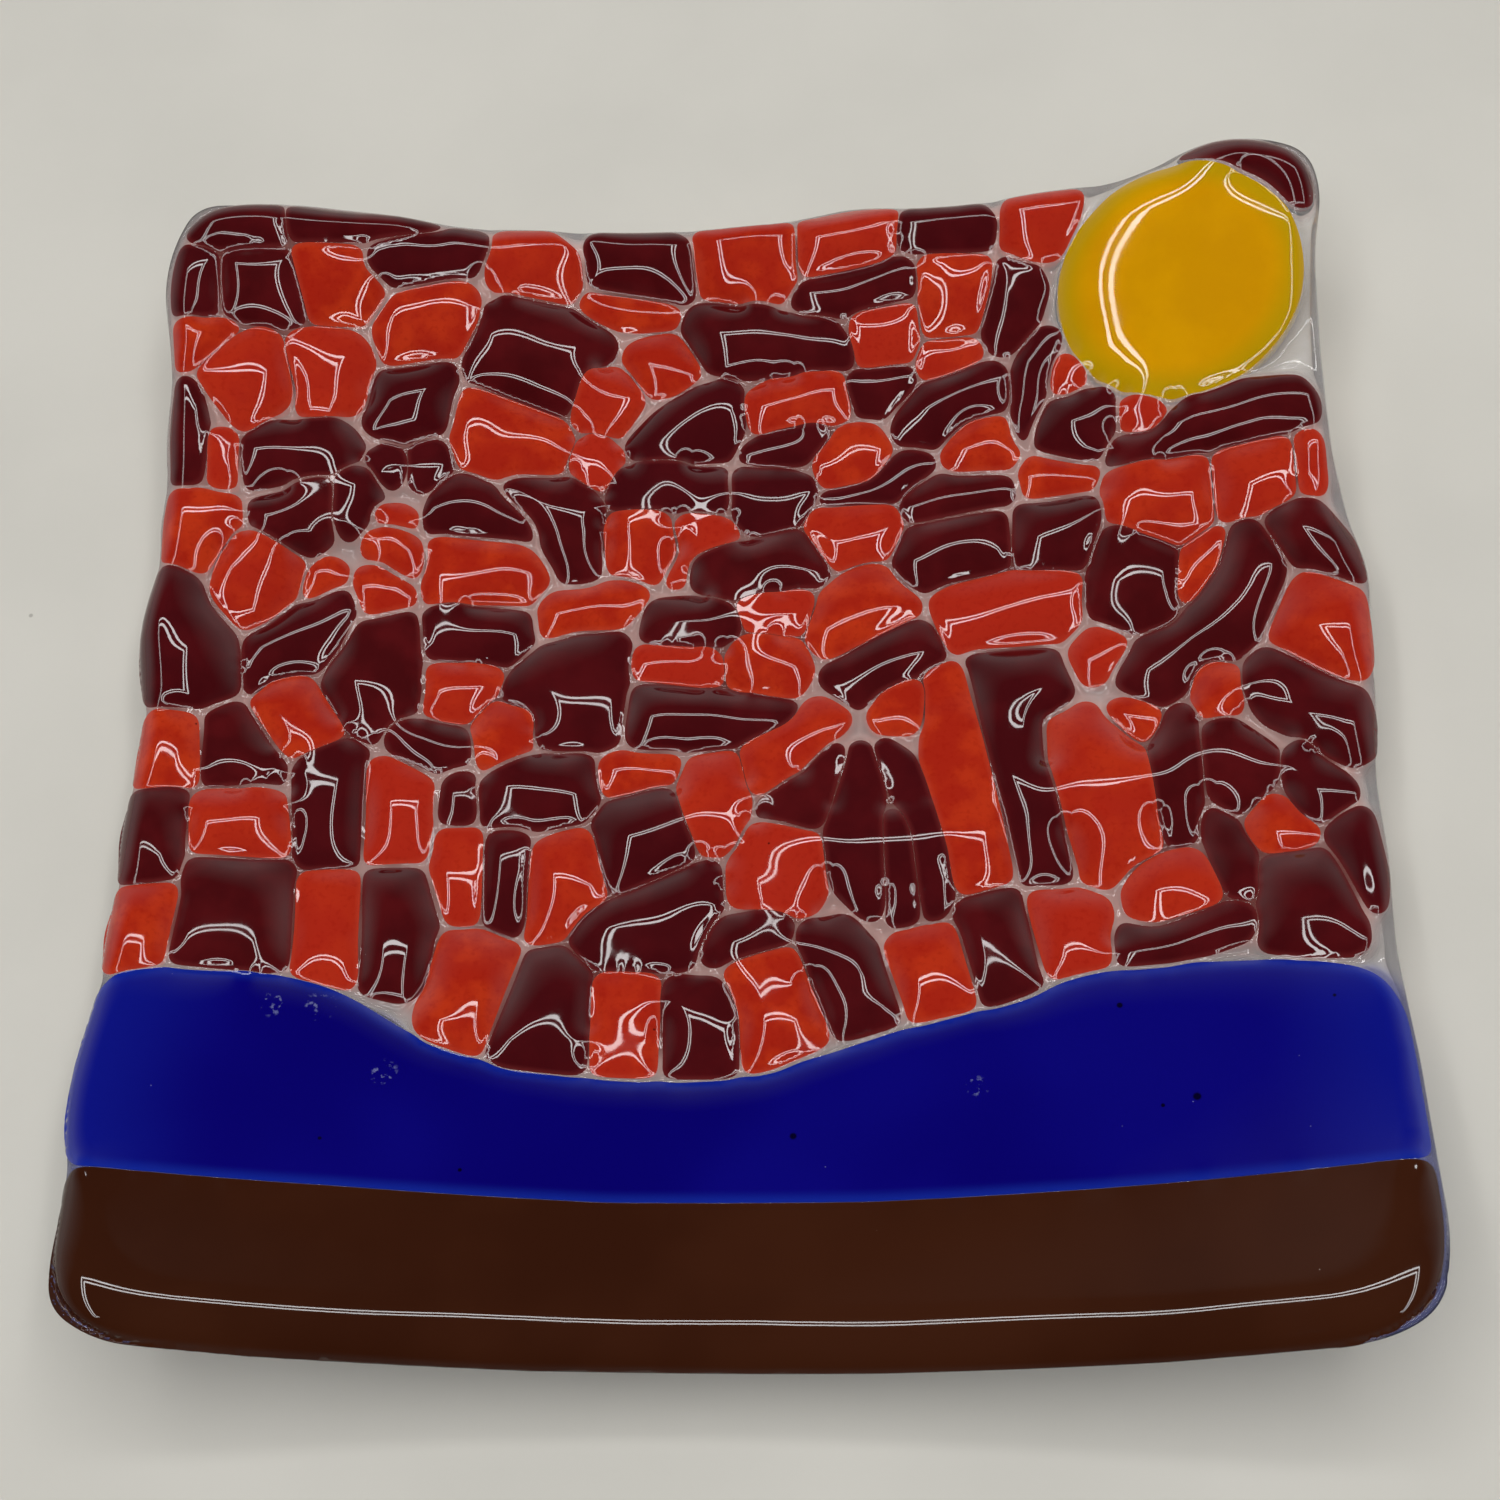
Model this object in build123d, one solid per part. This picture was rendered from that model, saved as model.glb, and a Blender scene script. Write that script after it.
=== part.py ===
from build123d import *
import math
import os

# Art glass dish: a clear square base sheet slumped into a shallow round curve, with a mosaic of
# coloured glass pieces fused to its upper face. All sizes are in millimetres.
# Origin: centre of the flat foot. +Z is up, +X is right, -Y is the front edge with the brown strip.

# ---- driving dimensions ----
FOOT_RADIUS = 30.0       # flat round foot that the dish stands on
CURVE_RADIUS = 240.0     # radius of the curve that rises from the foot, on the underside
BASE_THICKNESS = 3.0     # clear base sheet
PIECE_THICKNESS = 3.0    # coloured pieces laid on the base sheet
CUSHION_DROP = 1.0       # how much lower a chip's far corner is than its middle, from surface tension
CORNER_RADIUS = 1.9      # rounding of a chip's corners, seen from above
CHIP_EDGE = 0.8          # rounding along a chip's upper edge
PANEL_EDGE = 1.8         # rounding along the upper edge of the large pieces
RIM_EDGE = 1.2           # rounding along both edges of the base sheet
SEAM = 0.3               # least gap left between neighbouring pieces
WORK_HEIGHT = 60.0       # height above the foot that clears the whole dish
WORK_REACH = 160.0       # distance from the middle that clears the whole dish
FLOWED_RADIUS = 60.0     # most that a corner of the large outlines is rounded: glass flows smooth
SIDE_SHARE = 0.48        # most of a side that the rounding of one corner takes up
UPWARD = 0.5             # a face whose normal rises more than this is on top
SIDEWAYS = 0.1           # a face whose normal rises less than this is the rim
BANDS = 6                # chips are grouped in bands from front to back
COLUMNS = 4              # and in columns from left to right
CHIP_FIELD = (-104.0, -58.0, 104.0, 105.0)  # left, front, right and back of the area the chips fill

# ---- outlines seen from above ----
BASE_OUTLINE = [
    (-98.6, -88), (-98.9, -74), (-101.3, -66), (-101.3, -52), (-99.4, -41.5), (-101.0, -33),
    (-99.3, -26), (-101.0, -16), (-99.5, -8), (-99.9, 0), (-98.6, 6), (-101.6, 15), (-101.2, 25),
    (-98.9, 33), (-100.0, 41), (-98.9, 48), (-99.9, 57), (-99.0, 67), (-99.7, 74), (-100.9, 84),
    (-99.4, 92), (-95.6, 99.4), (-88, 100.9), (-76, 102.0), (-60, 101.5), (-50, 99.9),
    (-38, 100.4), (-24, 99.7), (-6, 100.0), (8, 100.2), (20, 102.8), (30, 100.8), (44, 100.3),
    (54, 101.1), (66, 100.1), (74, 101.4), (82, 104.3), (91, 102.6), (98.4, 98.4), (100.3, 91),
    (98.6, 82), (98.4, 64), (98.9, 46), (100.3, 33), (102.8, 24), (102.0, 14), (101.3, -2),
    (99.9, -12), (100.3, -26), (99.4, -42), (100.2, -60), (100.0, -88), (97.2, -98.4), (89, -102.4),
    (60, -103.3), (20, -103.3), (-30, -102.2), (-70, -100.6), (-90, -99.3), (-97.2, -95),
]
BROWN_OUTLINE = [
    (-98.2, -88), (-98.4, -77), (-96.4, -73.7), (-60, -75.1), (-20, -77.4), (20, -78.1),
    (60, -77.6), (96.6, -76.9), (99.3, -79.6), (99.6, -88), (96.8, -98.2), (88.6, -102.0),
    (60, -102.9), (20, -102.9), (-30, -101.8), (-70, -100.2), (-90, -98.9), (-96.8, -94.8),
]
BLUE_OUTLINE = [
    (-98.2, -73.1), (-100.9, -66), (-100.9, -50), (-98.4, -41.6), (-90, -39.6), (-74, -39.9),
    (-63, -42.7), (-52, -50), (-40, -54.6), (-24, -57.4), (0, -57.6), (12, -54.4), (28, -49.5),
    (44, -46.6), (52, -42.7), (68, -42.1), (84, -43.2), (95.4, -46.4), (98.8, -54), (99.2, -74.6),
    (97, -76.5), (60, -77.2), (20, -77.7), (-20, -77.0), (-60, -74.7),
]
# The disc was nibbled round by hand, so each corner has its own distance from its centre.
SUN_CENTRE = (76.0, 79.0)
SUN_RADII = (20.1, 19.9, 19.5, 20.0, 20.5, 20.1, 20.4, 20.2, 20.6, 20.2, 20.5, 20.1, 20.3)

# Each chip is given by its corners. Chips run from the front to the back of the dish.
RED_CHIPS = [
    [(-99.2, -25.9), (-91, -24.6), (-89.3, -26), (-90.4, -38.8), (-98.7, -40.9), (-100.5, -33)],
    [(-72.2, -21.4), (-64, -20.5), (-62, -22), (-60.8, -41.5), (-70.8, -39.6)],
    [(-89.7, -9), (-84, -7.2), (-75.6, -7.3), (-73.5, -19), (-88.4, -19.3)],
    [(-48.6, -31.4), (-41.5, -31.2), (-35.4, -34.4), (-40.5, -53.2), (-50, -50.2), (-51, -46)],
    [(-23.8, -38.8), (-13.1, -40.1), (-12.9, -56.9), (-23.5, -55.9)],
    [(-3.2, -38.5), (7.9, -35.9), (13.6, -50.4), (5.2, -55.6), (0, -56.9), (-0.4, -46)],
    [(22.6, -36), (24.4, -33.6), (33.2, -32.2), (36.9, -46.6), (25.9, -49.1)],
    [(44.7, -28), (46.8, -27), (54, -27.2), (57.4, -30), (57.6, -40.6), (47.4, -42.4)],
    [(60.4, -28), (62.3, -24.3), (71.4, -22), (74.9, -31.6), (64.6, -34.4), (61, -33)],
    [(79.2, -19), (84.4, -13.8), (90, -21.4), (88.4, -24.2), (83, -24.4)],
    [(-62.3, 0.1), (-51.7, -3.8), (-51.1, -18.8), (-62.1, -19.3)],
    [(-50.6, -12.9), (-43, -13.3), (-42.4, -29.8), (-47.2, -30.2), (-50.9, -19.4)],
    [(-34.6, -16.9), (-25, -13.4), (-22.2, -25.4), (-25.9, -28.2), (-28.8, -32.4), (-35, -33.5)],
    [(-2.7, -22), (2, -13.6), (12.7, -17), (13.2, -25.6), (10.4, -30.3), (-2.2, -27.4)],
    [(-9.3, -2.2), (-1.2, -0.4), (1, -10.8), (-1.2, -18.4), (-6.6, -18.8), (-9.6, -12), (-10.8, -7)],
    [(-24.1, -2.2), (-21.8, -0.3), (-9.9, -1.2), (-11.2, -5.8), (-23.3, -8.2)],
    [(11.8, 8.8), (18.4, 5), (9, -5.4), (1.7, -10.2), (-0.6, -0.2), (7, 3)],
    [(30.6, 12.8), (36.3, 14.8), (43.5, -24.8), (34.4, -27.1), (29.6, -5), (29.9, 2)],
    [(20.9, 5.3), (22.8, 8.8), (30.2, 12.4), (29.4, 2), (22, 1.9)],
    [(49.5, 3.2), (56.6, 5.2), (58.3, 3.6), (65, -4.6), (66.7, -20.6), (57.6, -27.1), (53.8, -26.2),
     (49.5, -5.2)],
    [(58.8, 3.8), (61.4, 5.2), (68.5, 2.6), (65.2, -4)],
    [(73.5, 2.6), (74.2, 8.4), (76.2, 10.4), (80.2, 9.2), (80.4, 0.4), (74.4, -0.1)],
    [(-98, 5.6), (-90.2, 6.2), (-88.9, -6.4), (-98.7, -8.3), (-99.4, -1)],
    [(-82.4, 8.5), (-79.4, 13), (-74, 14.6), (-66, 3.2), (-73.2, -0.6), (-76.2, -0.4)],
    [(-54.1, 17.3), (-42.4, 17), (-40.8, 14), (-45.8, 6.4), (-52.8, 6.5)],
    [(-42.4, 9.9), (-35.3, 8.1), (-35.1, 1), (-44.2, -3.2), (-45.4, 5.6)],
    [(-19.3, 15.4), (-17.8, 19.8), (-6, 18.5), (-3.4, 15.6), (-4.5, 11.4), (-17.4, 13.2)],
    [(1.4, 20.1), (9.2, 20.1), (11.3, 13.6), (8.6, 9.2), (-1.8, 10.8), (-3, 16.8)],
    [(54, 14.8), (58.4, 19.3), (64.3, 15.6), (60.1, 9.6), (56.6, 8.6)],
    [(92.4, 24.4), (100.6, 19.4), (101.2, 8), (99, 2.9), (93.6, 6.3), (85.2, 13.2)],
    [(-88, 36.6), (-84.8, 40), (-75.4, 35.6), (-75.6, 31), (-80.2, 24.9), (-84.6, 23), (-89.7, 27.2)],
    [(-74.9, 32.8), (-70.5, 36.5), (-67.5, 34), (-68.2, 31.6), (-75.4, 27.6)],
    [(-67, 34.6), (-61.6, 35), (-56.3, 30.4), (-57.2, 27.6), (-64.7, 25.2)],
    [(-66.2, 38), (-63, 42), (-57.6, 41.4), (-55, 38), (-55.2, 34.4), (-58, 33.2)],
    [(-54.1, 40.4), (-51.8, 41), (-38.5, 39.8), (-34, 34), (-36, 28.4), (-54.6, 28.4)],
    [(-35.6, 29.6), (-20.4, 32.8), (-15.8, 30.2), (-21.8, 23.2), (-28.8, 23.1), (-35.2, 21.3)],
    [(-24.2, 44.7), (-13.1, 44.7), (-11.4, 38), (-14.4, 31.8), (-23.8, 34.6)],
    [(-12.7, 44.6), (-2.8, 42.8), (-0.6, 39.6), (-9.7, 35.6), (-10, 31), (-14, 31.6), (-11, 38)],
    [(-1.4, 26), (3, 27.7), (10.4, 29.2), (12.2, 27), (9.6, 20.5), (0.9, 20.5)],
    [(12.8, 27.4), (18.6, 32.7), (22, 33.8), (24.6, 32.6), (29.8, 25.4), (28.2, 23), (14.8, 15.9),
     (10.6, 19.2)],
    [(10.6, 40.9), (12.8, 44.7), (26, 44.6), (27.2, 40.6), (25, 35), (15.4, 32.8)],
    [(31.8, 26.4), (35, 29.2), (46, 30.5), (56.2, 29.2), (56.8, 21.8), (52, 17.2), (34.6, 16.6)],
    [(73.3, 31.2), (79.2, 34.6), (81, 33.8), (78.8, 27.6), (71.6, 17.8)],
    [(60.9, 42.6), (61.6, 46.6), (78.9, 48.2), (79, 35.9), (73.3, 32.4), (62, 37.6)],
    [(79.4, 48.1), (90.6, 48.9), (92.2, 47.6), (92.3, 37.4), (81.2, 35.3), (79.4, 36.8)],
    [(92.7, 37), (95.4, 36.9), (96.5, 38.6), (96.5, 47), (95.2, 49.2), (92.7, 49)],
    [(-98.8, 46.4), (-86, 46.2), (-85.6, 42), (-92, 31.7), (-98.4, 34), (-99.5, 40)],
    [(-64.2, 43.4), (-62.8, 46), (-58.6, 46.4), (-56, 44), (-56.8, 41.9)],
    [(47.3, 49.6), (49.8, 52.2), (60.5, 48.6), (60.3, 44.1), (48, 43.9)],
    [(-91.4, 58.2), (-87.2, 57.4), (-86.6, 47.2), (-91.4, 47.2)],
    [(-30.4, 55.2), (-28.8, 59.8), (-24, 59.5), (-21.2, 56.6), (-24.3, 49.8), (-28, 51.4)],
    [(34.2, 53.4), (36.2, 57), (39.6, 59.6), (45.8, 60.1), (47.7, 52.4), (46.2, 49.8), (36.4, 50.2)],
    [(12.6, 54), (16.6, 59.2), (22.2, 60.9), (25.5, 55.6), (22.4, 49.8), (13.8, 48.6)],
    [(64.8, 59.8), (68, 59.4), (72, 57.2), (72, 55.2), (69.6, 53.6), (64.8, 54.2)],
    [(-51.3, 59), (-50, 67), (-48.2, 69.7), (-32.2, 63.2), (-29.6, 58.4), (-32.6, 53.5), (-44, 52.7),
     (-50, 55)],
    [(-98.6, 77.2), (-90, 78.6), (-87.6, 77.6), (-94, 69.2), (-98.3, 68.3), (-99.1, 73)],
    [(-88.4, 75.2), (-83.6, 77.4), (-80.7, 75.8), (-78, 66), (-85.8, 57.9), (-94.2, 68.2)],
    [(-79.8, 76.3), (-74, 78.2), (-68, 78), (-65.2, 74.5), (-66, 64.6), (-75, 61.5), (-76.8, 62.8)],
    [(0.3, 66.8), (4, 69), (17.3, 70), (19.4, 61.9), (14, 61), (2, 60)],
    [(54.4, 68.4), (56.4, 69.6), (59.6, 64.8), (57.6, 62.8), (53.4, 63.4)],
    [(-27.6, 71.8), (-24.4, 73.9), (-20.8, 73), (-17.6, 67.6), (-22.4, 60.5), (-30.2, 62.8)],
    [(-20.9, 74.4), (-20.4, 77.6), (-13.4, 80.3), (-10.9, 78), (-7.4, 72.4), (-11.6, 68.5), (-16.6, 68.2)],
    [(19.8, 81), (31, 82.6), (31.2, 74.6), (29.5, 71.8), (20.2, 71)],
    [(30.9, 70), (31.4, 75.2), (40.8, 74.8), (42, 71.4), (39.4, 69.7), (31.8, 67.9)],
    [(-64.9, 80.6), (-61.5, 85), (-50, 88.5), (-47.4, 87), (-46.5, 81.4), (-50.5, 75.1), (-62.8, 72.8)],
    [(31.5, 89.4), (37, 89.8), (44.3, 88.6), (44, 83.8), (41.2, 75.4), (31.6, 75.8)],
    [(-79.2, 92.4), (-67, 93.9), (-66.4, 89.3), (-62.6, 86.5), (-66, 80.9), (-75.6, 79.5)],
    [(-29.2, 85.6), (-27.4, 88), (-17, 86.6), (-12, 85.2), (-11.4, 82.6), (-13.4, 81), (-25, 82)],
    [(-45.1, 88.4), (-43.6, 97.5), (-41, 99.4), (-36, 99.2), (-28.4, 93), (-29.4, 87.8), (-31, 86),
     (-40, 86.7)],
    [(-8.4, 93.5), (-7.8, 98), (-4, 99.1), (8.6, 99.2), (9.8, 97.8), (9.7, 87.2), (7, 84.8),
     (-1, 85.4), (-7.4, 87.2)],
    [(10.3, 88.6), (10.3, 99), (14, 101.2), (22, 102), (27.2, 100), (28, 97), (26.8, 91.6), (24.4, 90)],
    [(46.2, 90.4), (47.4, 98), (50, 100.2), (57, 100), (60.2, 98.4), (59.2, 94), (56, 87.4), (50.5, 87)],
]
MAROON_CHIPS = [
    [(-88.6, -19.8), (-72.5, -19.6), (-71.9, -38.2), (-74, -39.1), (-90, -38.8)],
    [(-61.6, -20.4), (-52.5, -20), (-49, -31), (-50.4, -41.4), (-54, -43), (-60.3, -41.6)],
    [(-99.3, -8.9), (-90.4, -7.2), (-90.3, -24.1), (-98.8, -25.5), (-100.5, -15)],
    [(-35, -34.8), (-28.8, -34), (-24.3, -38), (-24.2, -55.9), (-37, -55.1), (-40.1, -53.2)],
    [(-12.7, -40.3), (-3, -41), (-0.8, -47), (-0.4, -57), (-12.5, -57)],
    [(8.3, -32.6), (16.4, -30.5), (21, -36), (25.4, -48.6), (14.4, -50.6)],
    [(33.7, -29.4), (42.4, -26.4), (44.3, -27.6), (46.8, -43.8), (38, -46.8), (36.9, -45.4)],
    [(57.9, -35.8), (59.4, -33.8), (65, -34.9), (77, -32.5), (79.3, -34), (79, -37.8), (66, -41.4),
     (58.2, -41)],
    [(80.8, -26.4), (82.2, -24.9), (90.4, -24.8), (92.4, -28), (94.8, -35), (94.6, -42.8), (86, -42.4),
     (79.9, -40.6)],
    [(91.4, -21.8), (94.4, -18.8), (97.6, -18.6), (98.9, -30), (97.8, -36), (95.4, -36.4), (93, -28)],
    [(-28.2, -32.6), (-25.2, -28.9), (-9.2, -21.8), (-3.2, -19.9), (-3.8, -28.6), (-8.7, -38.4),
     (-24.6, -37.5)],
    [(-4.2, -30.6), (6, -30.5), (8, -32.2), (7.6, -35.3), (-2, -37.9), (-7.4, -37.6)],
    [(-41.8, -13.6), (-36, -13.7), (-34.9, -17), (-35.3, -32.4), (-41.9, -30)],
    [(-24.7, -12.6), (-22.8, -9), (-14, -6.8), (-11.8, -7.2), (-7.8, -19.2), (-21.4, -25.6)],
    [(85.8, -8.8), (87.6, -6.2), (90, -6.4), (96, -14.6), (96, -17.4), (90.2, -20), (87.6, -17.4)],
    [(72.9, -17), (74.2, -14.4), (78.4, -18.6), (80.3, -25), (80.2, -31), (78.4, -32), (76, -30.8)],
    [(-73.6, -2), (-64.8, 3.1), (-63, 1), (-62.6, -19.7), (-72.2, -20.8)],
    [(-49, -3.2), (-45.2, -2.4), (-43.9, -10), (-44.5, -12.8), (-50.4, -12.4)],
    [(-43.6, -5.3), (-34, -0.6), (-25.4, -0.3), (-23.6, -9.6), (-26.4, -12), (-34.5, -13.3),
     (-42.8, -12.9)],
    [(18.2, 3.4), (9.6, -5.2), (2.2, -11.4), (3, -13.4), (12.6, -16.6)],
    [(19.4, 4.6), (13.2, -17.2), (14.2, -24.6), (22.5, -33.8), (22.3, -8)],
    [(22.9, -12.8), (25.4, -13.2), (26.9, -17.2), (28.2, -31.6), (23.3, -32.8)],
    [(20.8, 1.6), (26.8, -2.4), (29.2, -7), (32.8, -20), (32.9, -28), (31, -31.4), (28.8, -31.6),
     (27.4, -17)],
    [(37, 15.2), (39, 16.2), (51.6, 16.4), (54, 8), (52.6, 4.6), (49, 3), (49, -5), (53.2, -26.3),
     (44.2, -25.4)],
    [(65.4, -4.8), (69.4, 2.2), (72.6, 3.4), (73.4, -1), (73.5, -14), (71, -20.8), (67, -21)],
    [(73.9, -0.6), (79, -0.7), (85.2, -6.6), (84.8, -11.2), (79, -16.6), (74, -12.8)],
    [(81, 4.4), (82.6, 10.6), (85.2, 11.6), (99.2, 1.6), (100.7, -5), (99.6, -9), (96.6, -11),
     (92.8, -8.8), (90.4, -5.4), (84.4, -1.2)],
    [(-89.1, 7), (-83.2, 8.8), (-76.5, -0.8), (-75, -5.8), (-88.4, -6.6)],
    [(-59.9, 2.3), (-58, 5.3), (-52, 5.9), (-46.4, 4.5), (-45, 2), (-45, -1.8), (-51.4, -3.2)],
    [(-65.6, 24.3), (-56.6, 27.1), (-55.3, 24), (-54, 12.4), (-55.3, 8.2), (-62, 2.5), (-65, 3.7),
     (-70.6, 13)],
    [(-97.6, 32.8), (-93.4, 31.2), (-85, 19), (-84.6, 11.6), (-89, 7.5), (-98, 7.3), (-100.9, 13),
     (-100.7, 25)],
    [(-84.3, 19.8), (-76.5, 26.8), (-68, 31.1), (-65.6, 26.8), (-68, 20.4), (-72.2, 16.2), (-80, 13.8),
     (-82.8, 9.4)],
    [(-54.7, 26.9), (-50, 27.9), (-36.4, 27.7), (-35.4, 20.8), (-40.2, 17.5), (-54, 17.7)],
    [(-40.5, 13), (-35, 20.7), (-28.5, 22.8), (-21.5, 22.7), (-19.7, 20.4), (-19.6, 9), (-21.6, 1),
     (-34.7, 1.4), (-34.9, 8.6), (-40, 10)],
    [(-17.4, 20.4), (-15.8, 28), (-7, 28.2), (-1.4, 24.6), (0.2, 21), (-6, 18.9)],
    [(-19.4, 11), (-17, 12.8), (2, 9.6), (9.4, 7.4), (7.6, 4.6), (-2, 0.5), (-18, 0.6), (-19.5, 3.8)],
    [(12.7, 12.2), (14.2, 14.6), (28.6, 22.5), (30.6, 21.6), (34, 15.4), (22.2, 9), (19.4, 5.6)],
    [(60.6, 9.3), (65, 15.4), (71.9, 17), (79.3, 27.2), (81.5, 34.2), (84.4, 35), (89.4, 26.6),
     (84.7, 13.4), (80.6, 10), (76, 11.2), (73.6, 9.4), (72.2, 6.2), (68.2, 3.6)],
    [(57, 24), (61, 36.8), (72.9, 31.6), (71.2, 19.4), (65, 17.3), (57.6, 21.6)],
    [(-9.4, 32.6), (-8.6, 35.6), (9.8, 40.6), (14.8, 32.5), (13, 30.4), (-1.8, 27), (-7, 29.2)],
    [(26.2, 31), (25.4, 34.4), (28.2, 40.4), (45.5, 42.7), (45.2, 31.1), (30, 28.4)],
    [(45.9, 42.9), (59.6, 43.6), (60.6, 40), (57, 29.8), (45.6, 31)],
    [(87.2, 34), (89.4, 35.9), (94.6, 36.6), (102, 25.6), (101.6, 20), (92.6, 25), (89.9, 26.8)],
    [(-84.8, 45.6), (-80.6, 47.7), (-72, 49.8), (-70.4, 48.6), (-70.6, 40), (-73.4, 37), (-77.6, 37.3),
     (-83.8, 41)],
    [(-69.8, 50.4), (-64.6, 53.4), (-62.5, 47.6), (-66.2, 41.2), (-68.6, 39.8), (-70.1, 42)],
    [(-55.3, 43.4), (-53.8, 48.5), (-51.5, 52.2), (-48, 52.6), (-43.5, 50.2), (-37.6, 44.3),
     (-35.3, 40.2), (-54.8, 41.9)],
    [(-42.6, 50.5), (-39.5, 52.5), (-31, 52), (-26.5, 49.2), (-24.7, 46.2), (-24.6, 34.2),
     (-26.4, 32.2), (-31, 33), (-36.8, 44.5)],
    [(-24.2, 46), (-21.8, 52.6), (-19, 54.2), (-3, 53.8), (-2.6, 44.4), (-12, 45.4)],
    [(-2.2, 53.6), (8, 51.6), (12, 50.2), (12.2, 47.2), (9.2, 42), (3.6, 40.4), (-1, 42)],
    [(13.4, 47.2), (22, 49.2), (28, 54.8), (31.6, 54.6), (33.4, 52.4), (26, 45.5), (13.6, 44.9)],
    [(26.6, 44.4), (28.9, 47.3), (34, 49.8), (45.8, 48.8), (47, 45.4), (45.2, 43.1), (28.8, 41.2)],
    [(50.2, 56.8), (53, 61), (58, 62.2), (63.6, 61.8), (64.2, 56), (61.4, 50.4), (58.8, 49.6),
     (51, 52.6)],
    [(61.9, 49.4), (64.8, 53.5), (70, 52.9), (77, 58.2), (84, 59.3), (94, 58), (96.6, 54), (96.4, 49.9),
     (79, 48.7), (64, 47.4)],
    [(-97.4, 66.8), (-94.2, 66), (-92.2, 58), (-92, 49), (-93.6, 47.8), (-98.2, 47.4), (-99.4, 56)],
    [(-86.2, 56), (-82.5, 60), (-69, 60.8), (-65.8, 56.4), (-70.2, 50.8), (-85.4, 47.2)],
    [(-65.4, 55.2), (-62.5, 57.6), (-59.3, 57.3), (-58.4, 54.4), (-60.4, 50.6), (-62.6, 49.6)],
    [(-58.6, 57.8), (-54.4, 59.8), (-51.6, 58.2), (-50.6, 54.6), (-53.4, 50.4), (-57.2, 49.4)],
    [(-65.9, 60.6), (-65, 69), (-63.4, 71.6), (-52.6, 73.8), (-50.3, 72.6), (-52.2, 61), (-54.4, 60.2),
     (-59.2, 58.4)],
    [(-49.2, 72.2), (-45.2, 84), (-40.6, 86.2), (-30.5, 84.3), (-24.4, 81), (-22.8, 77.8),
     (-23.8, 75), (-28, 72.4), (-30.8, 64.7), (-48, 70.4)],
    [(-21.2, 58), (-15, 64.4), (-8, 68.4), (-2.4, 70), (-0.4, 68.4), (-0.4, 61), (-3, 55), (-17, 55.4)],
    [(-1.4, 55), (2, 58.2), (7.5, 60.4), (13, 60.6), (15.8, 59.2), (10.8, 54), (3, 53.6)],
    [(17.9, 69.4), (29.6, 71), (30.4, 66.8), (24.2, 62), (20, 61.4)],
    [(26, 57.2), (27.4, 62.4), (31, 67), (41, 69.3), (45.4, 69.3), (46.2, 60.8), (39, 60), (33.4, 55.2)],
    [(46.6, 57), (47.4, 67), (49.6, 72.6), (53, 74.6), (55.4, 73.8), (49.8, 56.6), (48, 53.4)],
    [(45.6, 88.2), (47.6, 87.8), (52, 85.4), (53.4, 82), (51.6, 76.5), (48.8, 72), (44.5, 71.4),
     (42.2, 75)],
    [(-10.6, 81.4), (-8.6, 84.8), (-4, 84.6), (16, 79.6), (19.6, 73.5), (19.2, 71.2), (-2, 71.2),
     (-6.4, 73)],
    [(8.9, 84.3), (10.3, 87.2), (28.5, 89.9), (30.8, 88), (31, 83), (18, 81), (11, 82)],
    [(28.2, 92.4), (28.6, 97.4), (30.6, 99.5), (38, 99.5), (43, 98), (45, 94.4), (44.6, 90.4),
     (38, 90.2)],
    [(-27.7, 91.5), (-27.2, 97), (-21, 98.6), (-12.5, 98), (-8.9, 95.4), (-8.4, 86.6), (-11.6, 86.2),
     (-26.6, 88.7)],
    [(-66, 89.6), (-65.6, 93.8), (-55.4, 96.6), (-49, 98.8), (-45.4, 97), (-44.3, 94.6), (-48.4, 89.9),
     (-62, 87.2)],
    [(-79.9, 99.6), (-77, 101.3), (-58, 100.8), (-51.2, 98.8), (-56, 96.8), (-66, 94.5), (-79.2, 93)],
    [(-97, 92.4), (-94.8, 98.6), (-90, 100.2), (-80.3, 100.1), (-79.6, 92.2), (-91, 91)],
    [(-98.8, 90.8), (-91.2, 90.6), (-91, 79.4), (-98.6, 77.6), (-100.2, 84)],
    [(-90.8, 90.6), (-79.2, 91.7), (-76.2, 79.8), (-80, 78.6), (-90.6, 79.4)],
    [(76, 101), (78, 103), (82, 103.7), (92, 101.4), (98.4, 96.4), (99.6, 91), (97.8, 87.6),
     (94.8, 88.8), (91.6, 92.9), (86.4, 96.9), (79.4, 100)],
]


def dish_profile(radius, lift):
    """Height of the surface that lies the given distance above the underside, measured square to it."""
    run = max(radius - FOOT_RADIUS, 0)
    return CURVE_RADIUS - math.sqrt((CURVE_RADIUS - lift) ** 2 - run ** 2)


def space_above(lift):
    """Everything above that surface, as a solid turned round the dish's axis."""
    foot_edge = (FOOT_RADIUS, lift)
    halfway = (FOOT_RADIUS + WORK_REACH) / 2
    middle = (halfway, dish_profile(halfway, lift))
    end = (WORK_REACH, dish_profile(WORK_REACH, lift))
    with BuildSketch(Plane.XZ) as section:
        with BuildLine():
            Line((0, lift), foot_edge)
            ThreePointArc(foot_edge, middle, end)
            Polyline(end, (WORK_REACH, WORK_HEIGHT), (0, WORK_HEIGHT), (0, lift))
        make_face()
    return revolve(section.sketch, Axis.Z)


def surface_point(x, y, lift):
    """The point above (x, y) on that surface, and the direction square to the surface there."""
    radius = math.hypot(x, y)
    height = dish_profile(radius, lift)
    run = max(radius - FOOT_RADIUS, 0)
    lean = run / (CURVE_RADIUS - lift)
    inward = -lean / radius if run else 0
    return Vector(x, y, height), Vector(x * inward, y * inward, math.sqrt(1 - lean**2))


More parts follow.
